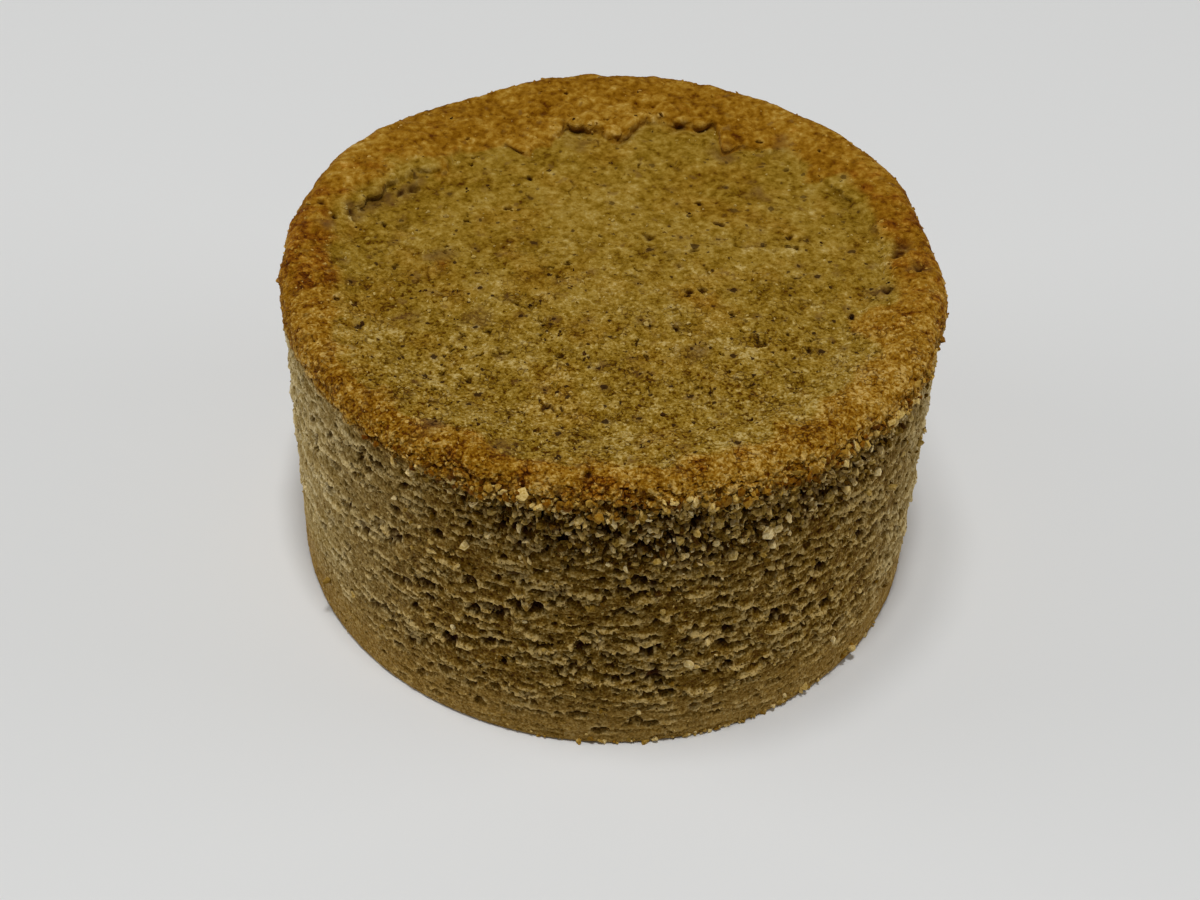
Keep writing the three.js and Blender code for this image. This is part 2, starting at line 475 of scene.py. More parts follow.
def add_scale(proud, torn, run, rng, ragged, place, level, width):
    """Stamps one scale: a ramp that leans out down to a ragged lip, and a pit torn under it."""
    lip = level + rng.uniform(*SCALE_SHIFT)
    strength = torn_share(place / WALL_LENGTH * FULL_TURN, lip) * rng.uniform(*SCALE_STRENGTH)
    rise = rng.uniform(*SCALE_RISE)
    lift = rng.uniform(*SCALE_LIFT) * strength
    tall = min(TEAR_HEIGHT[0] + 0.15 * width * rng.random(), TEAR_HEIGHT[1])
    tall *= 0.6 + 0.5 * strength
    depth = draw(rng, *TEAR_DEPTH) * strength
    tear_width = width * rng.uniform(*TEAR_WIDTH)
    arc = rng.uniform(*SCALE_ARC)
    slant = rng.uniform(*SCALE_SLANT)
    shift = rng.integers(COLUMNS)
    columns, u = columns_about(place, width)
    edge = lip + arc * (2 * u / width) ** 2 + slant * u + ragged[(columns + shift) % COLUMNS]
    low = np.searchsorted(run, lip - tall - 0.5)
    high = np.searchsorted(run, lip + rise + 0.8)
    above = run[low:high, None] - edge
    side = full_inside(u, width)
    ramp = np.where(above >= 0, lift * side * np.clip(1 - above / rise, 0, 1) ** RAMP_POWER, 0)
    stamp(proud, low, high, columns, ramp)
    pit = np.maximum(SCALE_STEP * strength * side, depth * np.sqrt(full_inside(u, tear_width)))
    pit = np.where(above < 0, pit * np.clip(1 + above / tall, 0, 1) ** 0.7, 0)
    stamp(torn, low, high, columns, pit)


def scales(run, rng):
    """Rows of torn scales: how far the surface stands out, and how deep it is torn."""
    proud = np.zeros((len(run), COLUMNS))
    torn = np.zeros_like(proud)
    ragged = ragged_line(rng, SCALE_TEETH)
    for level in np.arange(LOWEST_TEAR, run[-1] + 0.5, SCALE_SPACING):
        place = rng.uniform(*ROW_START)
        while place < WALL_LENGTH:
            width = draw(rng, *SCALE_WIDTH)
            add_scale(proud, torn, run, rng, ragged, place, level, width)
            place += width * SCALE_OVERLAP + rng.uniform(*SCALE_GAP)
    return proud, torn


def pits(run, rng):
    """Small caves in the wall, each deepest under its upper edge: how deep the surface is torn."""
    torn = np.zeros((len(run), COLUMNS))
    ragged = ragged_line(rng, PIT_TEETH)
    for _ in range(PIT_COUNT):
        place = rng.uniform(0, WALL_LENGTH)
        level = rng.uniform(LOWEST_TEAR, run[-1])
        width = draw(rng, *PIT_WIDTH)
        tall = width * rng.uniform(*PIT_TALLNESS)
        depth = (0.3 + 0.55 * width) * rng.uniform(*PIT_DEPTH)
        shift = rng.integers(COLUMNS)
        if rng.random() > torn_share(place / WALL_LENGTH * FULL_TURN, level):
            continue
        columns, u = columns_about(place, width)
        low = np.searchsorted(run, level - tall)
        high = np.searchsorted(run, level + tall)
        u = 2 * u / width
        v = 2 * (run[low:high, None] - level + ragged[(columns + shift) % COLUMNS]) / tall
        inside = np.clip(2 * (1 - np.abs(u) ** PIT_POWER - np.abs(v) ** PIT_POWER), 0, 1)
        stamp(torn, low, high, columns, depth * inside * (0.6 + 0.4 * np.clip(v, -1, 1)))
    return torn


# The whole relief


def surface_normals(points):
    along = np.gradient(points, axis=0)
    across = (np.roll(points, -1, axis=1) - np.roll(points, 1, axis=1)) / 2
    normal = np.cross(across, along)
    return normal / np.maximum(np.linalg.norm(normal, axis=-1, keepdims=True), 1e-9)


def to_points(angle, radius, height):
    turn = np.radians(angle)
    return np.stack([radius * np.cos(turn), radius * np.sin(turn), height + 0 * radius], axis=-1)


def from_axis(points):
    return np.hypot(points[..., 0], points[..., 1])


def profile_run(radius, height):
    """How far up the profile each row lies, measured along it from the table."""
    step = np.hypot(np.diff(radius, axis=0), np.diff(height, axis=0)).mean(axis=1)
    return np.concatenate([[0], np.cumsum(step)])


def blurred(values, reach):
    """The mean over a square of neighbours, so many rows and columns to each side."""
    rows = np.pad(values, ((reach, reach), (0, 0)), mode="edge")
    rows = sum(rows[k : k + len(values)] for k in range(2 * reach + 1))
    return sum(np.roll(rows, k, axis=1) for k in range(-reach, reach + 1)) / (2 * reach + 1) ** 2


def crumbly_share(angle, run, station):
    """How far the wall under the rim has come apart into crumbs, from 0 to 1."""
    front = near(angle, *CRUMBLY_FRONT)
    depth = 1.4 + 6 * front
    under_rim = rising(run, RIM_FOOT - depth, 4.4) * (1 - rising(station, 0.3, 0.9))
    return under_rim * np.clip(1.8 * front, 0, 1)


def away_on_top(points, angle, radius):
    """How far the points lie, in plan, from a place at an angle and a distance from the axis."""
    centre = radius * np.array([math.cos(angle), math.sin(angle)])
    return np.linalg.norm(points[..., :2] - centre, axis=-1)


def spots(points, places):
    """1 at each place on the top, easing to 0 at its size: an angle, a distance and a size each."""
    share = np.zeros(points.shape[:-1])
    for angle, radius, size in places:
        away = away_on_top(points, math.radians(angle), radius)
        share = np.maximum(share, smooth(1 - away / size))
    return share * (points[..., 2] > RIM_FOOT)


def random_spots(points, rng, count):
    """Small pits strewn over the top by chance: how deep each point lies in one, from 0 to 1."""
    share = np.zeros(points.shape[:-1])
    for _ in range(count):
        radius = (WALL_RADIUS - 2.5) * math.sqrt(rng.random())
        away = away_on_top(points, rng.uniform(0, 2 * math.pi), radius)
        share = np.maximum(share, smooth(1.4 * (1 - away / rng.uniform(*SMALL_PIT_SIZES))))
    return share


def golden_share(angle, radius, station, swell, dent):
    """How browned the crust is, from 0 to 1: the rim's top, down to its lower edge."""
    by_ledge = np.clip(3 * near(angle, *LEDGE_BORDER), 0, 1)
    ledge_foot = ledge_radius(angle) - 0.2 - sum_lobes(angle, UNDERCUTS)
    border = ledge_foot * by_ledge + (BORDER_RADIUS + sum_lobes(angle, BORDER_LOBES)) * (1 - by_ledge)
    uneven = (0.8 * swell + 0.5 * dent) * (1 - 0.7 * by_ledge)
    top = smooth((radius - border + uneven) / (1.3 - 0.8 * by_ledge) + 0.5)
    top *= 1 - ledge_stand(angle) * rising(station, KNOT_CRACK - 0.15, 0.4)
    outside = rising(station + 0.6 * swell + 0.7 * dent, 0.4, 0.8)
    return np.where(station < 0, 0, np.where(station < KNOT_CREST, outside, top))


# Patterns of chance: a cell's size and a seed. Those that move points have how far between the two.
BEAD, LUMP, BLOCK, CHIP = (0.36, 3), (1.2, 23), (0.95, 13), (0.5, 43)
SWELL, DENT, FINE = (3.1, 31), (1.3, 33), (0.36, 35)
CRACK_LINE, CRACK_PATCH, CRACK_FIELD = (1.1, 57), (0.9, 61), (2.7, 59)
BENT, CURLED, BLOTCHY = (0.9, 0.16, 71), (0.6, 0.25, 81), (1.1, 0.8, 101)
RAGGED_SPOTS, RAGGED_PITS = (0.5, 0.3, 91), (0.3, 0.2, 95)

# Where kinds of surface begin and end on the profile: a station, and over how many they change.
WALL_END = (0.4, 1.4)
SCALES_END = (0.8, 2)
SCALES_REACH = RIM_FOOT + 2.4
CRUST = ((0.4, 0.8), (KNOT_EDGE, 1.2))
SHOULDER_BAND = ((0.1, 0.6), (3, 2))
LEDGE = ((KNOT_CREST, 1.6), (KNOT_CRACK - 0.4, 0.6))
MIDDLE_BEGIN = (KNOT_CRACK, 1.5)

# How far each kind of unevenness stands out on each kind of surface.
BEADS = {"middle": 0.1, "crust": 0.15, "ledge": 0.05}
LUMPS = {"middle": 0.12, "crust": 0.17, "torn": 0.04, "ledge": 0.34}
SWELLS = {"middle": 0.1, "crust": 0.1}
DENTS = {"middle": 0.09, "crust": 0.1}
BLOCKS = {"crumbly": 0.3, "torn": 0.05, "shoulder": 0.24}
CHIPS = {"crumbly": 0.18, "torn": 0.03, "shoulder": 0.15}
WALL_BEADS = 0.035
FINE_GRAIN = 0.025
GAP_DEPTH = 0.45
CRUMBLED_DEPTH = 0.14
CRACKED_DEPTH = 0.22
DEEP_SPOT_DEPTH = 0.3

# A round grain's mean height as a share, taken off so that the form keeps its size.
GRAIN_MEAN = 0.6


def between(station, begin, end):
    return rising(station, *begin) * (1 - rising(station, *end))


def surface_zones(angle, run, height, station):
    """How far each point belongs to each kind of surface, from 0 to 1."""
    wall = np.where(station < 0, 1, 1 - rising(station, *WALL_END))
    return {
        "wall": wall,
        "torn": torn_share(angle, height) * wall,
        "crumbly": crumbly_share(angle, run[:, None], station),
        "shoulder": between(station, *SHOULDER_BAND) * (0.2 + 0.8 * near(angle, *BROAD_FRONT)),
        "crust": between(station, *CRUST),
        "ledge": between(station, *LEDGE) * ledge_stand(angle),
        "middle": rising(station, *MIDDLE_BEGIN),
    }


def torn_wall(run, height, station, rng):
    """How far the scales stand out and how deep the wall is torn, fading to its foot and the rim."""
    reach = int(np.searchsorted(run, SCALES_REACH))
    proud = np.zeros_like(height)
    torn = np.zeros_like(height)
    proud[:reach], torn[:reach] = scales(run[:reach], rng)
    torn[:reach] = np.maximum(torn[:reach], pits(run[:reach], rng))
    held = (1 - rising(station, *SCALES_END)) * rising(height, 0.2, 1.1)
    return proud * held, torn * held, reach


def sized(sizes, zones):
    return sum(size * zones[zone] for zone, size in sizes.items())


def add_grain(relief, points, zones, swell, dent, rng):
    """Adds the beads, lumps, swells, dents and fine grain. Returns each bead's own chance."""
    bent = crinkle(points, *BENT)
    bead, bead_tone = grains(bent, *BEAD)
    lump = grains(bent, *LUMP)[0]
    fine = cloud(points, *FINE)
    wall = zones["wall"]
    crisp = crispness(points)
    relief += sized(BEADS, zones) * crisp * (bead - GRAIN_MEAN)
    relief += sized(LUMPS, zones) * (lump - GRAIN_MEAN)
    relief += sized(SWELLS, zones) * swell + sized(DENTS, zones) * dent
    relief += WALL_BEADS * wall * (bead - GRAIN_MEAN) + FINE_GRAIN * np.maximum(wall, crisp) * fine
    relief += (0.006 + 0.008 * wall) * rng.uniform(-1, 1, relief.shape)
    return bead_tone


def add_crumbs(relief, curled, zones, dent, reach):
    """Adds the angular crumbs of the wall, so many rows up. Returns the gaps between them."""
    block, block_crack = plates(curled[:reach], *BLOCK)
    chip = plates(curled[:reach], *CHIP)[0]
    closed = smooth(block_crack / 0.3)
    gap = np.zeros_like(relief)
    gap[:reach] = zones["crumbly"][:reach] * (1 - closed) * rising(dent[:reach], -0.55, 0.5)
    relief[:reach] += sized(BLOCKS, zones)[:reach] * block
    relief[:reach] += sized(CHIPS, zones)[:reach] * chip
    relief -= GAP_DEPTH * gap + CRUMBLED_DEPTH * zones["crumbly"]
    return gap


def crispness(points):
    """How sharp the finest relief is, from 0.4 at the back to 1 at the front."""
    return 0.4 + 0.6 * smooth((14 - points[..., 1]) / 28)


def cracked_share(points, curled, zones):
    """Fine cracks in patches of the middle and the crust."""
    line = smooth(1 - np.abs(cloud(curled, *CRACK_LINE)) / 0.12)
    patches = rising(cloud(points, *CRACK_PATCH), 0.05, 0.3)
    patches = patches * rising(cloud(points, *CRACK_FIELD), 0.1, 0.2)
    return line * patches * crispness(points) * np.maximum(zones["middle"], 0.6 * zones["crust"])


def deep_share(points, zones, rng):
    """The deep spots and the small pits of the top."""
    deep = spots(crinkle(points, *RAGGED_SPOTS), DEEP_SPOTS)
    deep = np.maximum(deep, random_spots(crinkle(points, *RAGGED_PITS), rng, SMALL_PITS))
    return deep * np.maximum(zones["middle"], zones["crust"])


def hollow_shade_fact(angle, station, zones, torn, gap, cracked, deep):
    """How deep in a pit, a gap, a crack or under the ledge a point lies, from 0 to 1, and so how much
    painted shade darkens the colour there.
    """
    undercut = np.minimum(1, 1.6 * sum_lobes(angle, UNDERCUTS))
    under_ledge = smooth(1 - np.abs(station - KNOT_CRACK) / 0.9) * undercut
    in_crumbs = 0.2 * zones["crumbly"] + 0.6 * gap
    in_scales = rising(torn, 0.14, 0.36)
    return np.clip(in_scales + in_crumbs + 0.6 * cracked + 0.9 * deep + 0.65 * under_ledge, 0, 1)


def relief_light_fact(angle, station, relief):
    """How far a point stands out from what is about it, from 0 to 1, most of all the ledge's edge. The
    colours paint light with it: lighter where the surface stands out, and painted shade in its hollows.
    """
    hollow = np.clip((blurred(relief, 3) - relief) / 0.2, -1, 1)
    # A painted highlight along the ledge's edge.
    hollow -= 0.35 * ledge_stand(angle) * smooth(1 - np.abs(station - KNOT_EDGE + 0.1) / 0.6)
    return 0.5 - 0.5 * hollow


def colour_facts(angle, radius, station, points, zones, swell, dent):
    """How browned, toasted and dull the surface is, how far painted light pales the wall's sides, and
    its smudges with the painted shadows under the ledge.
    """
    blotchy = crinkle(points, *BLOTCHY)
    golden = golden_share(angle, radius, station, swell, dent)
    ring_radius, ring_half = INNER_RING
    inner_ring = smooth(1 - np.abs(radius + 0.6 * swell - ring_radius) / ring_half)
    inner_ring = inner_ring * (station > KNOT_CREST) * near(angle, *TOASTED_FRONT)
    bright_front = 0.9 * near(angle, *BRIGHT_FRONT)
    dull = rising(radius, 7, 11) * (1 - bright_front) * zones["middle"] * (0.8 + 0.2 * swell)
    # The sides' dullness; below 0 it brightens, at the front-right as painted light.
    dull += sum_lobes(angle, DULL_AND_LIT_SIDES) * rising(radius, 17, 5) * (1 - zones["wall"])
    return {
        "golden": np.maximum(golden, 0.85 * spots(blotchy, GOLDEN_SPOTS)),
        "toast": sum_lobes(angle, TOASTED_SIDES) + 0.9 * inner_ring,
        "dull": dull,
        # Painted light: the sides paler where light falls from the side, with a painted sheen toward the
        # silhouettes.
        "side_light": sum_lobes(angle, SIDE_LIGHT_LOBES) * (0.75 + 0.25 * dent),
        # Smudges, with the painted shadows under the ledge among them.
        "smudge_and_shadow": spots(blotchy, SMUDGES_AND_LEDGE_SHADOWS) * (0.65 + 0.35 * dent),
        "wall": zones["wall"],
    }


def pastry_grid():
    """Points of the surface, what its material needs to know at each, and how many rows lie outside
    the rim's bulge."""
    rng = np.random.default_rng(SEEDS["surface"])
    angle = np.arange(COLUMNS) / COLUMNS * FULL_TURN
    radius, height, station, wall_rows = form_rows(angle)
    points = to_points(angle, radius, height)
    run = profile_run(radius, height)
    zones = surface_zones(angle, run, height, station)
    curled = crinkle(points, *CURLED)
    swell = cloud(points, *SWELL)
    dent = cloud(points, *DENT)

    proud, torn, reach = torn_wall(run, height, station, rng)
    relief = proud - torn
    bead_tone = add_grain(relief, points, zones, swell, dent, rng)
    gap = add_crumbs(relief, curled, zones, dent, reach)
    cracked = cracked_share(points, curled, zones)
    deep = deep_share(points, zones, rng)
    relief -= CRACKED_DEPTH * cracked + DEEP_SPOT_DEPTH * deep
    relief *= smooth(height / 0.5 + 0.1)

    moved = points + surface_normals(points) * relief[..., None]
    sagging = zones["wall"] * (1 - 0.7 * zones["crumbly"])
    moved[..., 2] -= 0.5 * np.clip(relief, -1.1, 0.5) * sagging
    moved[..., 2] = np.maximum(moved[..., 2], 0)
    facts = colour_facts(angle, radius, station, points, zones, swell, dent)
    # How deep each point lies in a hollow; the colour is darkened by it as painted shade.
    facts["depth"] = hollow_shade_fact(angle, station, zones, torn, gap, cracked, deep)
    # How far each point stands out, which the colours paint as light and shade.
    facts["standing"] = relief_light_fact(angle, station, relief)
    facts["tone"] = bead_tone
    return moved, facts, wall_rows + BULGE_ROWS


# Mesh making


def put_in_scene(name, data):
    obj = bpy.data.objects.new(name, data)
    bpy.context.scene.collection.objects.link(obj)
    return obj


def make_mesh(name, vertices, faces, material, places=None):
    """An object from vertices in millimetres and arrays of faces, with a place on the bake's sheet
    for each corner if they are given."""
    mesh = bpy.data.meshes.new(name)
    sizes = np.concatenate([np.full(len(f), f.shape[1]) for f in faces]).astype(np.int32)
    starts = np.concatenate([[0], np.cumsum(sizes)[:-1]]).astype(np.int32)
    corners = np.concatenate([f.ravel() for f in faces]).astype(np.int32)
    mesh.vertices.add(len(vertices))
    mesh.vertices.foreach_set("co", (vertices * MM).astype(np.float32).ravel())
    mesh.loops.add(len(corners))
    mesh.loops.foreach_set("vertex_index", corners)
    mesh.polygons.add(len(sizes))
    mesh.polygons.foreach_set("loop_start", starts)
    mesh.polygons.foreach_set("use_smooth", np.zeros(len(sizes), bool))
    mesh.update(calc_edges=True)
    if places is not None:
        layer = mesh.uv_layers.new(name="OFBake")
        layer.data.foreach_set("uv", np.concatenate([p.ravel() for p in places]).astype(np.float32))
    mesh.validate()
    mesh.materials.append(material)
    return put_in_scene(name, mesh)


def add_fact(obj, name, values):
    attribute = obj.data.attributes.new(name, "FLOAT", "POINT")
    attribute.data.foreach_set("value", np.asarray(values, np.float32))


def ring_faces(outer, inner):
    """Faces between two rings of vertex numbers, the inner with as many or half as many."""
    next_outer, next_inner = np.roll(outer, -1), np.roll(inner, -1)
    if len(outer) == len(inner):
        return [np.stack([outer, next_outer, next_inner, inner], axis=1)]
    even, odd = outer[0::2], outer[1::2]
    left = np.stack([even, odd, inner], axis=1)
    middle = np.stack([odd, next_inner, inner], axis=1)
    right = np.stack([odd, np.roll(even, -1), next_inner], axis=1)
    return [left, middle, right]


def fan(ring, centre):
    return [np.stack([ring, np.roll(ring, -1), np.full_like(ring, centre)], axis=1)]


def strides(radius):
    """How many columns each ring spans with one facet, so that facets near the axis aren't slivers."""
    halvings = np.floor(np.log2(np.maximum(1, 0.85 * WALL_RADIUS / radius)))
    return 2 ** np.minimum(halvings, math.log2(COLUMNS / FEWEST_COLUMNS)).astype(int)


def underside_rings(first_vertex):
    """Flat rings inwards from the underside's edge, each with half as many vertices as the last."""
    rings, vertices = [], []
    columns = COLUMNS // 2
    radius = FIRST_UNDER_RING * UNDERSIDE_RADIUS
    while columns >= FEWEST_COLUMNS:
        turn = np.arange(columns) / columns * FULL_TURN
        rings.append(np.arange(columns) + first_vertex + sum(len(v) for v in vertices))
        vertices.append(to_points(turn, np.full(columns, radius), np.zeros(columns)))
        columns //= 2
        radius *= NEXT_UNDER_RING
    return rings, vertices


# Where the surface lies on the bake's sheet: the outside as strips one above the other, and beside
# them the top and the underside as discs. All are shares of the sheet's side.
STRIPS = 3
STRIP_WIDTH = 0.54
STRIP_PITCH = 0.33
SHEET_MARGIN = 0.004
TOP_DISC = (0.772, 0.772, 0.222)
UNDER_DISC = (0.772, 0.3, 0.2)


def strip_places(face, columns, heights):
    """Corners of the outside's faces on the sheet, from each vertex's column and its share of height."""
    column = columns[face]
    wraps = column.max(axis=1, keepdims=True) - column > COLUMNS / 2
    column = column + COLUMNS * wraps
    strip_columns = COLUMNS / STRIPS
    strip = np.minimum(column.min(axis=1, keepdims=True) // strip_columns, STRIPS - 1)
    across = (column - strip * strip_columns) / (strip_columns + 1)
    u = SHEET_MARGIN + across * (STRIP_WIDTH - 2 * SHEET_MARGIN)
    v = SHEET_MARGIN + (strip + heights[face] * (1 - 4 * SHEET_MARGIN)) * STRIP_PITCH
    return np.stack([u, v], axis=-1)


def disc_places(face, turns, reaches, disc):
    """Corners of a disc's faces on the sheet, from each vertex's angle and share of the way out."""
    centre_u, centre_v, size = disc
    turn = np.radians(turns[face])
    reach = size * reaches[face]
    return np.stack([centre_u + reach * np.cos(turn), centre_v + reach * np.sin(turn)], axis=-1)


def surface_vertices(stride):
    """The numbers of the grid's points that are kept, one for each stride along a row, and the rings
    of vertices that they make."""
    kept = [row * COLUMNS + np.arange(0, COLUMNS, step) for row, step in enumerate(stride)]
    starts = np.cumsum([0] + [len(k) for k in kept])
    rings = [np.arange(start, start + len(k)) for start, k in zip(starts, kept)]
    return np.concatenate(kept), rings


def pastry_mesh(material):
    grid, facts, outer_rows = pastry_grid()
    radius = from_axis(grid)
    kept, rings = surface_vertices(strides(radius.mean(axis=1)))
    top_centre = len(kept)
    centre_height = grid[-1, :, 2].mean()
    under, under_vertices = underside_rings(top_centre + 1)
    vertices = [grid.reshape(-1, 3)[kept], [[0, 0, centre_height]], *under_vertices, [[0, 0, 0]]]
    vertices = np.concatenate(vertices)

    def for_surface(values):
        """A value for each vertex, 0 for those that aren't points of the grid."""
        full = np.zeros(len(vertices))
        full[:top_centre] = values
        return full

    run = profile_run(radius, grid[..., 2])
    columns = for_surface(kept % COLUMNS)
    up = for_surface((run / run[outer_rows])[kept // COLUMNS])
    inwards = for_surface(((run[-1] - run) / (run[-1] - run[outer_rows]))[kept // COLUMNS])
    turns = np.degrees(np.arctan2(vertices[:, 1], vertices[:, 0]))
    turns[:top_centre] = columns[:top_centre] / COLUMNS * FULL_TURN
    out = from_axis(vertices) / (WALL_RADIUS + 1)

    faces, places = [], []
    for outer, inner in zip(rings[:outer_rows], rings[1:]):
        faces += ring_faces(outer, inner)
    places += [strip_places(band, columns, up) for band in faces]
    above = []
    for outer, inner in zip(rings[outer_rows:], rings[outer_rows + 1 :]):
        above += ring_faces(outer, inner)
    above += fan(rings[-1], top_centre)
    places += [disc_places(band, turns, inwards, TOP_DISC) for band in above]
    below = fan(under[-1], len(vertices) - 1)
    for outer, inner in zip([rings[0], *under], under):
        below += ring_faces(outer, inner)
    below = [band[:, ::-1] for band in below]
    places += [disc_places(band, turns, out, UNDER_DISC) for band in below]
    faces += above + below
    obj = make_mesh("pastry_body", vertices, faces, material, places)
    for name, values in facts.items():
        add_fact(obj, name, for_surface((values + np.zeros(grid.shape[:2])).ravel()[kept]))
    return obj, grid, facts, outer_rows


# Crumbs, grains and specks: how many, and what their sizes are drawn from.
CRUMB_FACETS = 6
FACET_DEPTH = (0.2, 0.8)
CRUMB_STRETCH = (0.5, 1.4)
WALL_CRUMBS, WALL_CRUMB_SIZE = 2300, (0.3, 0.62, 1.6)
WALL_GRAINS, WALL_GRAIN_SIZE = 4000, (0.1, 0.26)
TOP_GRAINS, TOP_GRAIN_SIZE = 3200, (0.16, 0.32, 1.5)
SPECK_CLUSTERS, SPECK_SIZE = 80, (0.16, 0.38)
PROUD_SHARE, SUNK_SHARE = 0.1, -0.08


def ball(subdivisions):
    """A round ball's points and triangles."""
    mesh = bpy.data.meshes.new("ball")
    build = bmesh.new()
    bmesh.ops.create_icosphere(build, subdivisions=subdivisions, radius=1)
    build.to_mesh(mesh)
    build.free()
    points = np.array([v.co[:] for v in mesh.vertices])
    triangles = np.array([f.vertices[:] for f in mesh.polygons])
    bpy.data.meshes.remove(mesh)
    return points, triangles


def random_turns(rng, count):
    """Random rotation matrices."""
    q = rng.normal(size=(count, 4))
    w, x, y, z = (q / np.linalg.norm(q, axis=1, keepdims=True)).T
    rows = [
        [1 - 2 * (y * y + z * z), 2 * (x * y - z * w), 2 * (x * z + y * w)],
        [2 * (x * y + z * w), 1 - 2 * (x * x + z * z), 2 * (y * z - x * w)],
        [2 * (x * z - y * w), 2 * (y * z + x * w), 1 - 2 * (x * x + y * y)],
    ]
    return np.moveaxis(np.array(rows), -1, 0)


def crumbs(name, places, sizes, material, rng, subdivisions=2, rough=0.2, **facts):
    """One mesh of angular crumbs, each of its own shape, at places and of sizes across."""
    points, triangles = ball(subdivisions)
    count = len(places)
    shapes = points[None] * (1 + rough * rng.uniform(-1, 1, (count, len(points), 1)))
    for _ in range(CRUMB_FACETS):
        facing = rng.normal(size=(count, 1, 3))
        facing /= np.linalg.norm(facing, axis=-1, keepdims=True)
        past = np.sum(shapes * facing, axis=-1, keepdims=True) - rng.uniform(*FACET_DEPTH, (count, 1, 1))
        shapes = shapes - np.maximum(past, 0) * facing
    shapes = shapes * rng.uniform(*CRUMB_STRETCH, (count, 1, 3)) * sizes[:, None, None] / 2
    shapes = np.einsum("nij,nvj->nvi", random_turns(rng, count), shapes) + places[:, None]
    shapes[..., 2] = np.maximum(shapes[..., 2], 0)
    faces = triangles[None] + np.arange(count)[:, None, None] * len(points)
    obj = make_mesh(name, shapes.reshape(-1, 3), [faces.reshape(-1, 3)], material)
    facts["tone"] = rng.random(count)
    for fact, values in facts.items():
        add_fact(obj, fact, np.repeat(values, len(points)))
    return obj


def strewn(grid, weight, sizes, proud, rng):
    """Places on the surface drawn by weight, each standing out by a share of its size, and the
    numbers of the points they were drawn from."""
    weight = weight * from_axis(grid)
    share = (weight / weight.sum()).ravel()
    chosen = rng.choice(weight.size, len(sizes), replace=False, p=share)
    normal = surface_normals(grid).reshape(-1, 3)[chosen]
    return grid.reshape(-1, 3)[chosen] + normal * (proud * sizes[:, None]), chosen


def grid_angle(grid):
    return np.degrees(np.arctan2(grid[..., 1], grid[..., 0])) % FULL_TURN


def wall_crumbs(grid, facts, outer_rows):
    """Crumbs that stand on the torn wall, most of them under the rim at the front."""
    rng = np.random.default_rng(SEEDS["wall_crumbs"])
    angle = grid_angle(grid)
    height = grid[..., 2]
    under_rim = crumbly_share(angle, height, np.full_like(angle, ON_WALL)) * (height < RIM_FOOT + 1.3)
    further_down = 0.07 * near(angle, *CRUMBLY_FRONT) * rising(height, 12, 9)
    elsewhere = 0.01 * (height > BASE_BAND) * near(angle, *BROAD_FRONT)
    weight = (under_rim + (further_down + elsewhere) * facts["wall"]) * (0.2 + facts["standing"])
    sizes = draw(rng, *WALL_CRUMB_SIZE, WALL_CRUMBS)
    outside = np.arange(len(grid))[:, None] < outer_rows
    places, chosen = strewn(grid, weight * outside, sizes, PROUD_SHARE, rng)
    material = crumb_material("wall_crumb", LOOSE_CRUMB, EDGE_CRUMB)
    golden = facts["golden"].ravel()[chosen] * rng.uniform(0.75, 1, WALL_CRUMBS)
    return crumbs("wall_crumbs", places, sizes, material, rng, 1, golden=golden)


def wall_grains(grid, facts):
    """Fine grains all over the wall, most of them where it stands out."""
    rng = np.random.default_rng(SEEDS["wall_grains"])
    front = 0.2 + 0.8 * near(grid_angle(grid), *GRAINY_FRONT)
    weight = facts["wall"] * facts["standing"] ** 2 * (facts["depth"] < 0.6) * front
    weight = weight * (0.4 + smooth(grid[..., 2] / 8))
    sizes = rng.uniform(*WALL_GRAIN_SIZE, WALL_GRAINS)
    places, chosen = strewn(grid, weight, sizes, PROUD_SHARE, rng)
    # These grains take the sides' painted light as their golden share, and the side-lit palette as their
    # second one.
    material = crumb_material("wall_grain", LOOSE_CRUMB[:4], SIDE_LIT_CRUMB[1:])
    return crumbs("wall_grains", places, sizes, material, rng, 1, golden=facts["side_light"].ravel()[chosen])


def top_grains(grid, facts):
    """Pale grains that lie in the crust and the middle of the top, most of them in front."""
    rng = np.random.default_rng(SEEDS["top_grains"])
    on_top = (grid[..., 2] > RIM_FOOT) * (1 - facts["wall"])
    in_front = 0.15 + 0.85 * smooth(0.4 - grid[..., 1] / 30)
    sizes = draw(rng, *TOP_GRAIN_SIZE, TOP_GRAINS)
    weight = on_top * in_front * (facts["depth"] < 0.3)
    places, chosen = strewn(grid, weight, sizes, SUNK_SHARE, rng)
    material = crumb_material("top_grain", OLIVE_CRUMB[1:], GOLDEN_CRUST[1:])
    return crumbs("top_grains", places, sizes, material, rng, 1, golden=facts["golden"].ravel()[chosen])


def dark_specks(grid, facts):
    """Dark specks baked into the top in clusters of one to four, fewer of them in the crust."""
    rng = np.random.default_rng(SEEDS["specks"])
    on_top = (from_axis(grid) < CREST_RADIUS) * (grid[..., 2] > RIM_FOOT)
    weight = on_top * (1 - 0.7 * facts["golden"])
    weight = weight * (1 + 1.5 * near(grid_angle(grid), *SPECKLED_SIDE))
    members = rng.integers(1, 5, SPECK_CLUSTERS)
    places = strewn(grid, weight, np.zeros(SPECK_CLUSTERS), 0, rng)[0]
    places = np.repeat(places, members, axis=0) + rng.normal(0, 0.14, (members.sum(), 3)) * [1, 1, 0.1]
    sizes = rng.uniform(*SPECK_SIZE, members.sum())
    material = crumb_material("speck", SPECK, SPECK)
    return crumbs("dark_specks", places - [0, 0, 0.05], sizes, material, rng, rough=0.35)


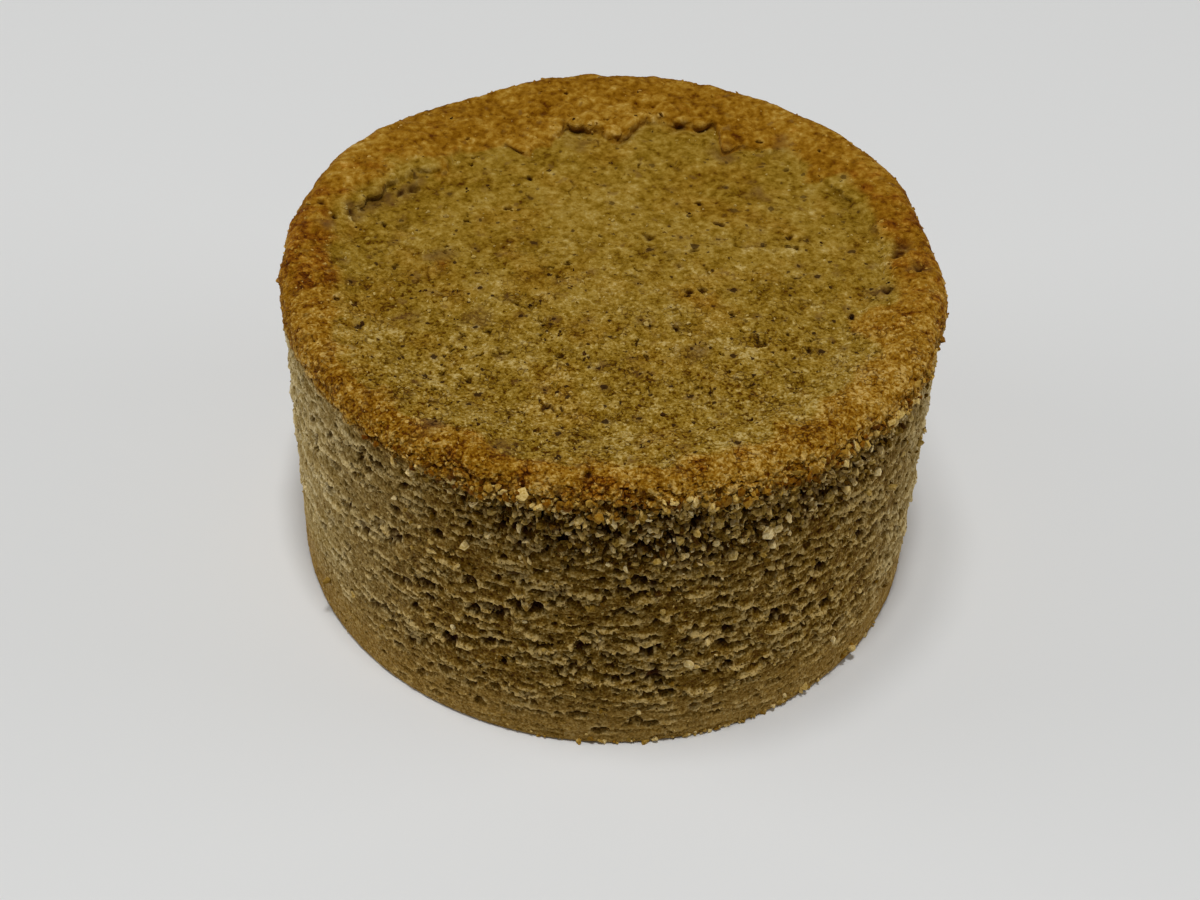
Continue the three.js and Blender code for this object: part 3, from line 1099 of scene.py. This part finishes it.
# Golden crumbs that cling to the outside: an angle, a height, how many, and the largest one's size.
CLINGING = [
    (331, 0.3, 5, 0.5), (326, 0.4, 6, 0.6), (320.5, 1.1, 7, 1.2), (313, 0.3, 6, 0.5),
    (307.6, 0.9, 6, 0.8), (303, 0.5, 7, 0.8), (298, 0.3, 7, 0.6), (294, 0.4, 7, 0.7),
    (289, 0.3, 7, 0.6), (285, 0.3, 6, 0.5), (281, 0.3, 6, 0.6), (276, 0.3, 7, 0.7),
    (270.5, 0.3, 6, 0.6), (265, 0.3, 6, 0.5), (258, 0.3, 5, 0.5), (209.5, 3.6, 2, 1.7),
    (201, 10.6, 1, 0.8), (341, 16, 1, 0.8), (257.5, 19.3, 6, 1.3),
]


def clinging_crumbs():
    """The golden crumbs of the foot, and the larger ones higher up."""
    rng = np.random.default_rng(SEEDS["clinging"])
    angles, heights, sizes = [], [], []
    for angle, height, count, largest in CLINGING:
        size = largest * np.linspace(1, 0.4, count)
        scattered = count > 2
        angles.append(angle + rng.normal(0, 1.9, count) * scattered)
        heights.append(np.maximum(height + rng.normal(0, 0.15, count) * scattered, 0.25 * size))
        sizes.append(size)
    angle, height, size = np.concatenate(angles), np.concatenate(heights), np.concatenate(sizes)
    places = to_points(angle, wall_radius(angle, height) + SUNK_SHARE * size, height)
    material = crumb_material("clinging_crumb", LOOSE_CRUMB[1:], EDGE_CRUMB[1:])
    golden = np.where(height < 5, rng.random(len(height)) ** 2, 0.15)
    return crumbs("clinging_crumbs", places, size, material, rng, golden=golden)


# Materials

# The numbers of a mix node's colour sockets, whose names it has more than once
MIX_SHARE, MIX_FIRST, MIX_SECOND, MIX_RESULT = 0, 6, 7, 2

CRUMB_FINISH = {
    "Specular IOR Level": 0.1,
    "Specular Tint": (1, 0.8, 0.4, 1),
    "Sheen Weight": 0.035,
    "Sheen Roughness": 0.4,
    "Sheen Tint": (1, 0.88, 0.6, 1),
}


class Dough:
    """A node material in the making. Most methods add a node and give back its output."""

    def __init__(self, name):
        self.material = bpy.data.materials.new(name)
        self.material.use_nodes = True
        self.tree = self.material.node_tree
        self.place = self.add("TexCoord").outputs["Object"]

    def set_inputs(self, node, inputs):
        for key, value in inputs.items():
            if isinstance(value, bpy.types.NodeSocket):
                self.tree.links.new(value, node.inputs[key])
            else:
                node.inputs[key].default_value = value

    def add(self, kind, inputs=None, **settings):
        node = self.tree.nodes.new("ShaderNode" + kind)
        for name, value in settings.items():
            setattr(node, name, value)
        self.set_inputs(node, inputs or {})
        return node

    def fact(self, name):
        return self.add("Attribute", attribute_name=name).outputs["Fac"]

    def noise(self, size, detail=2):
        inputs = {"Vector": self.place, "Scale": 1 / (size * MM), "Detail": detail}
        return self.add("TexNoise", inputs).outputs["Fac"]

    def voronoi(self, size, **settings):
        inputs = {"Vector": self.place, "Scale": 1 / (size * MM)}
        return self.add("TexVoronoi", inputs, **settings).outputs

    def cells(self, size, dimensions="3D"):
        """The distance to the nearest grain, and that grain's own chance."""
        found = self.voronoi(size, voronoi_dimensions=dimensions)
        own_chance = self.add("SeparateColor", {"Color": found["Color"]})
        return found["Distance"], own_chance.outputs["Red"]

    def spread(self, value, low, high, to_low=0, to_high=1):
        inputs = {"Value": value, "From Min": low, "From Max": high, "To Min": to_low, "To Max": to_high}
        return self.add("MapRange", inputs, interpolation_type="SMOOTHSTEP").outputs["Result"]

    def maths(self, operation, first, second):
        return self.add("Math", {0: first, 1: second}, operation=operation).outputs["Value"]

    def times(self, first, second):
        return self.maths("MULTIPLY", first, second)

    def weigh(self, *pairs):
        """The sum of values from 0 to 1 by their weights, with half for each taken off, plus a half."""
        total = 0.5
        for value, weight in pairs:
            swing = self.times(self.maths("SUBTRACT", value, 0.5), weight)
            total = self.maths("ADD", swing, total)
        return total

    def mix(self, share, first, second, blend="MIX"):
        inputs = {MIX_SHARE: share, MIX_FIRST: with_alpha(first), MIX_SECOND: with_alpha(second)}
        node = self.add("Mix", inputs, data_type="RGBA", blend_type=blend)
        return node.outputs[MIX_RESULT]

    def shade(self, colour, share, tint):
        """The colour multiplied by a tint, by a share."""
        return self.mix(share, colour, tint, "MULTIPLY")

    def palette(self, value, colours):
        """Colours from dark to light, spread evenly over a value from 0 to 1."""
        node = self.add("ValToRGB", {"Fac": value})
        stops = node.color_ramp.elements
        while len(stops) < len(colours):
            stops.new(0.5)
        for index, colour in enumerate(colours):
            stops[index].position = index / (len(colours) - 1)
            stops[index].color = with_alpha(colour)
        return node.outputs["Color"]

    def bump(self, height, depth, below=None):
        inputs = {"Height": height, "Distance": depth * MM, "Strength": 1}
        if below is not None:
            inputs["Normal"] = below
        return self.add("Bump", inputs).outputs["Normal"]

    def finish(self, colour, roughness, normal):
        made = {"Base Color": colour, "Roughness": roughness, "Normal": normal}
        self.set_inputs(self.tree.nodes["Principled BSDF"], {**CRUMB_FINISH, **made})
        return self.material


def with_alpha(colour):
    return (*colour, 1) if isinstance(colour, tuple) else colour


# Colours from dark to light
OLIVE_CRUMB = [
    (0.07, 0.022, 0.0002), (0.185, 0.098, 0.003), (0.288, 0.168, 0.016), (0.385, 0.248, 0.045),
    (0.545, 0.4, 0.14),
]
GOLDEN_CRUST = [
    (0.085, 0.02, 0.0002), (0.186, 0.072, 0.0008), (0.292, 0.132, 0.006), (0.4, 0.217, 0.026),
    (0.58, 0.37, 0.1),
]
TOASTED_CRUST = [
    (0.045, 0.008, 0.0002), (0.138, 0.036, 0.0005), (0.25, 0.09, 0.0028), (0.39, 0.176, 0.013),
    (0.61, 0.36, 0.075),
]
WALL_CRUMB = [
    (0.028, 0.006, 0.0001), (0.08, 0.027, 0.0003), (0.162, 0.08, 0.0042), (0.3, 0.176, 0.031),
    (0.6, 0.42, 0.15),
]
LOOSE_CRUMB = [
    (0.055, 0.016, 0.0003), (0.172, 0.088, 0.006), (0.37, 0.228, 0.04), (0.63, 0.44, 0.145),
    (0.9, 0.72, 0.37),
]
EDGE_CRUMB = [
    (0.1, 0.023, 0.0003), (0.2, 0.072, 0.0015), (0.315, 0.15, 0.0095), (0.46, 0.275, 0.04),
    (0.7, 0.5, 0.16),
]
# Painted light: a paler crumb for the sides, for light from the side and a painted sheen toward the
# silhouettes.
SIDE_LIT_CRUMB = [
    (0.12, 0.056, 0.003), (0.3, 0.194, 0.038), (0.485, 0.345, 0.115), (0.63, 0.48, 0.21),
    (0.8, 0.67, 0.38),
]
# The pressed band at the foot. Its palette is lighter than the wall's, and where it fades up the wall it
# is painted light: the wall lighter towards the foot, away from the rim's shade.
FOOT_BAND_AND_LIT_CRUMB = [
    (0.085, 0.033, 0.0008), (0.185, 0.096, 0.01), (0.305, 0.174, 0.034), (0.425, 0.268, 0.07),
    (0.6, 0.42, 0.16),
]
SPECK = [(0.026, 0.009, 0.0015), (0.07, 0.025, 0.004)]
# Painted shade: the tint that darkens hollows, gaps, cracks, the band under the rim and the joints
# between the top's flecks.
PAINTED_SHADE_TINT = (0.12, 0.034, 0.003)
# The brown of the smudges, the specks' halos and the painted shadows under the ledge.
SMUDGE_AND_SHADOW_BROWN = (0.155, 0.077, 0.019)

# Sizes of the fine grains and of the larger flecks in the colours
GRAIN = 0.26
FLECK = 0.5

# Dark specks in the top's colour: how far apart they may lie, the largest one's radius, how far its
# halo reaches, and the share of the places that are empty.
SPECK_KINDS = [(1.5, 0.15, 0.26, 0.35), (3.1, 0.26, 0.7, 0.3)]


def specks(dough, top, showing, spacing, radius, halo, empty):
    """The top's colour with dark specks of uneven shape, each in a dull halo, as far as they show."""
    away, own_chance = dough.cells(spacing, "2D")
    uneven = dough.times(dough.maths("SUBTRACT", dough.noise(radius * 1.6, 1), 0.5), radius * 2.4)
    away = dough.maths("ADD", dough.times(away, spacing), uneven)
    size = dough.spread(own_chance, empty, 1)
    inside = dough.maths("DIVIDE", away, dough.maths("MAXIMUM", dough.times(size, radius), 0.001))
    haze = dough.times(dough.spread(away, halo, 0, 0, 0.5), dough.spread(size, 0, 0.1))
    top = dough.mix(dough.times(haze, showing), top, SMUDGE_AND_SHADOW_BROWN)
    dark = dough.times(dough.spread(inside, 1.15, 0.85, 0, 0.9), showing)
    return dough.mix(dark, top, SPECK[0])


def crust_marks(dough, top, in_front):
    """The top's colour with its smudges and the painted shadows under the ledge, painted shade in the
    gaps between its flecks, which shows most in front, and its dark specks, which show least at the back
    and in the crust."""
    small_smudges = dough.spread(dough.noise(1.2), 0.64, 0.74, 0, 0.5)
    # Smudges and the painted shadows under the ledge.
    top = dough.mix(dough.maths("MAXIMUM", dough.fact("smudge_and_shadow"), small_smudges), top, SMUDGE_AND_SHADOW_BROWN)
    # Painted shade in the gaps between the flecks.
    edge_distance = dough.voronoi(FLECK, feature="DISTANCE_TO_EDGE")["Distance"]
    gap_shade = dough.spread(edge_distance, 0.13, 0.02)
    gap_shade = dough.times(gap_shade, dough.spread(dough.noise(1.6), 0.48, 0.68, 0, 0.7))
    top = dough.shade(top, dough.times(gap_shade, in_front), PAINTED_SHADE_TINT)
    showing = dough.spread(dough.fact("golden"), 0.2, 0.9, 1, 0.35)
    showing = dough.times(showing, dough.spread(in_front, 0, 0.7, 0.6, 1))
    for kind in SPECK_KINDS:
        top = specks(dough, top, showing, *kind)
    return top


def top_light(dough, fine, patch, grain_chance, along, in_front, softness):
    """How light the top is from place to place, as its palettes take it."""
    mottle = dough.weigh((dough.noise(0.55), dough.spread(in_front, 0, 1, 2.4, 1)))
    flecks = dough.weigh((grain_chance, 0.32), (dough.cells(FLECK)[1], 0.32))
    light = dough.weigh(
        (fine, 0.85),
        (dough.weigh((flecks, softness)), 1),
        (mottle, 0.5),
        (patch, 0.65),
        (dough.noise(5), 0.6),
        # Painted light: lighter where the relief stands out, painted shade in its hollows.
        (dough.fact("standing"), 0.65),
    )
    light = dough.weigh((light, dough.spread(along, 5 * MM, -22 * MM, 1, 1.2)))
    return dough.maths("SUBTRACT", light, dough.times(dough.fact("dull"), 0.07))


def top_colour(dough, light, in_front):
    """Olive in the middle, golden on the rim and toasted in patches, with its marks."""
    toast = dough.weigh((dough.noise(1.6, 3), 1.1), (dough.fact("toast"), 0.3))
    golden, toasted = dough.palette(light, GOLDEN_CRUST), dough.palette(light, TOASTED_CRUST)
    golden = dough.mix(dough.spread(toast, 0.42, 0.62), golden, toasted)
    warmth = dough.spread(dough.noise(4.3), 0.45, 0.7, 0, 0.35)
    olive = dough.mix(warmth, dough.palette(light, OLIVE_CRUMB), golden)
    return crust_marks(dough, dough.mix(dough.fact("golden"), olive, golden), in_front)


def wall_colour(dough, fine, patch, grain_chance, height):
    """Brown crumb, painted paler at the sides as painted light, and even and pressed in the band at the
    foot, whose lighter palette fading up the wall is painted light as well.
    """
    tone, standing = dough.fact("tone"), dough.fact("standing")
    # Painted light: lighter on lips and ridges, painted shade in hollows.
    light = dough.weigh((fine, 0.6), (grain_chance, 0.28), (tone, 0.12), (patch, 0.4), (standing, 0.87))
    brown, side_light = dough.palette(light, WALL_CRUMB), dough.palette(light, SIDE_LIT_CRUMB)
    wall = dough.mix(dough.fact("side_light"), brown, side_light)
    # Painted light as well as the pressed band: lighter towards the foot, away from the rim's shade.
    uneven_height = dough.maths("ADD", height, dough.times(patch, 2 * MM))
    foot_band_and_light = dough.spread(uneven_height, (BASE_BAND + 5) * MM, (BASE_BAND - 1) * MM)
    return dough.mix(foot_band_and_light, wall, dough.palette(light, FOOT_BAND_AND_LIT_CRUMB))


def dough_material():
    """The pastry's colour and finest grain, softer at the back of the top."""
    dough = Dough("dough")
    place = dough.add("SeparateXYZ", {"Vector": dough.place}).outputs
    in_front = dough.spread(place["Y"], 14 * MM, -14 * MM)
    softness = dough.spread(place["Y"], 15 * MM, -10 * MM, 0.3, 1)
    crispness = dough.spread(place["Y"], 15 * MM, -22 * MM, 0.25, 1.75)
    fine = dough.weigh((dough.noise(0.2), crispness))
    patch = dough.noise(1.7, 3)
    grain_distance, grain_chance = dough.cells(GRAIN)
    light = top_light(dough, fine, patch, grain_chance, place["Y"], in_front, softness)
    wall = wall_colour(dough, fine, patch, grain_chance, place["Z"])
    colour = dough.mix(dough.fact("wall"), top_colour(dough, light, in_front), wall)
    # Painted shade in the pits, gaps and cracks, under the rim's crumbs and under the ledge.
    colour = dough.shade(colour, dough.fact("depth"), PAINTED_SHADE_TINT)
    roughness = dough.spread(light, 0.2, 0.9, 0.95, 0.62)
    grain_height = dough.times(dough.spread(grain_distance, 0, 0.7, 1, 0), softness)
    return dough.finish(colour, roughness, dough.bump(fine, 0.04, dough.bump(grain_height, 0.08)))


def crumb_material(name, plain, golden):
    """A loose crumb's colour, from the plain palette to the golden one by the piece's own share. For the
    wall's grains, that share and palette are the sides' painted light.
    """
    dough = Dough(name)
    fine = dough.noise(0.18)
    light = dough.weigh((fine, 0.8), (dough.fact("tone"), 0.9))
    colour = dough.mix(dough.fact("golden"), dough.palette(light, plain), dough.palette(light, golden))
    roughness = dough.spread(light, 0.2, 0.9, 0.9, 0.6)
    return dough.finish(colour, roughness, dough.bump(fine, 0.05))


# Stage: the camera was fitted to the photo's outline, and its lengths are in millimetres

FOCAL_PIXELS = 2077
PHOTO_WIDTH = 1200
SENSOR_WIDTH = 36
CAMERA_DISTANCE = 166.85
CAMERA_ELEVATION = 43.525
CAMERA_ROLL = 1.979
CAMERA_LEFT = 0.762
CAMERA_DOWN = 4.899
NEAREST_SHOWN = 0.01
FLOOR_HALF = 2
PAPER = (0.8, 0.805, 0.8, 1)

# Lamps: where each stands in metres, how wide it is, and its watts.
LAMPS = {
    "key": ((0.01, -0.09, 0.74), 0.1, 2.5),
    "left key": ((-0.1, -0.03, 0.74), 0.12, 0.9),
    "left panel": ((-0.75, 0.03, 0.2), 0.5, 1.7),
    "right panel": ((0.75, 0.03, 0.22), 0.5, 1.4),
}
AIR_COLOUR = (1, 1, 0.99, 1)
AIR_STRENGTH = 0.11


def add_camera():
    camera = put_in_scene("camera", bpy.data.cameras.new("camera"))
    tilt = Matrix.Rotation(math.radians(90 - CAMERA_ELEVATION), 4, "X")
    roll = Matrix.Rotation(math.radians(CAMERA_ROLL), 4, "Z")
    centre = Matrix.Translation((0, 0, HEIGHT / 2 * MM))
    away = Matrix.Translation(Vector((-CAMERA_LEFT, -CAMERA_DOWN, CAMERA_DISTANCE)) * MM)
    camera.matrix_world = centre @ tilt @ roll @ away
    camera.data.sensor_width = SENSOR_WIDTH
    camera.data.lens = FOCAL_PIXELS / PHOTO_WIDTH * SENSOR_WIDTH
    camera.data.clip_start = NEAREST_SHOWN
    bpy.context.scene.camera = camera


def add_floor():
    mesh = bpy.data.meshes.new("floor")
    corners = [(-1, -1), (1, -1), (1, 1), (-1, 1)]
    mesh.from_pydata([(FLOOR_HALF * x, FLOOR_HALF * y, 0) for x, y in corners], [], [(0, 1, 2, 3)])
    paper = bpy.data.materials.new("paper")
    paper.use_nodes = True
    shader = paper.node_tree.nodes["Principled BSDF"]
    shader.inputs["Base Color"].default_value = PAPER
    shader.inputs["Roughness"].default_value = 0.9
    mesh.materials.append(paper)
    floor = put_in_scene("floor", mesh)


def add_light():
    for name, (place, size, watts) in LAMPS.items():
        light = bpy.data.lights.new(name, "AREA")
        light.shape = "DISK"
        light.size = size
        light.energy = watts
        lamp = put_in_scene(name, light)
        lamp.location = place
        lamp.rotation_mode = "QUATERNION"
        lamp.rotation_quaternion = (-Vector(place)).to_track_quat("-Z", "Y")
    world = bpy.data.worlds.new("studio")
    bpy.context.scene.world = world
    world.use_nodes = True
    backdrop = world.node_tree.nodes["Background"]
    backdrop.inputs["Color"].default_value = AIR_COLOUR
    backdrop.inputs["Strength"].default_value = AIR_STRENGTH
    bpy.context.scene.view_settings.view_transform = "Standard"


def dress(piece):
    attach(piece, "root")


add_camera()
add_floor()
add_light()
body, grid, facts, outer_rows = pastry_mesh(dough_material())
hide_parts("pastry")
dress(body)
dress(wall_crumbs(grid, facts, outer_rows))
dress(wall_grains(grid, facts))
dress(top_grains(grid, facts))
dress(dark_specks(grid, facts))
dress(clinging_crumbs())
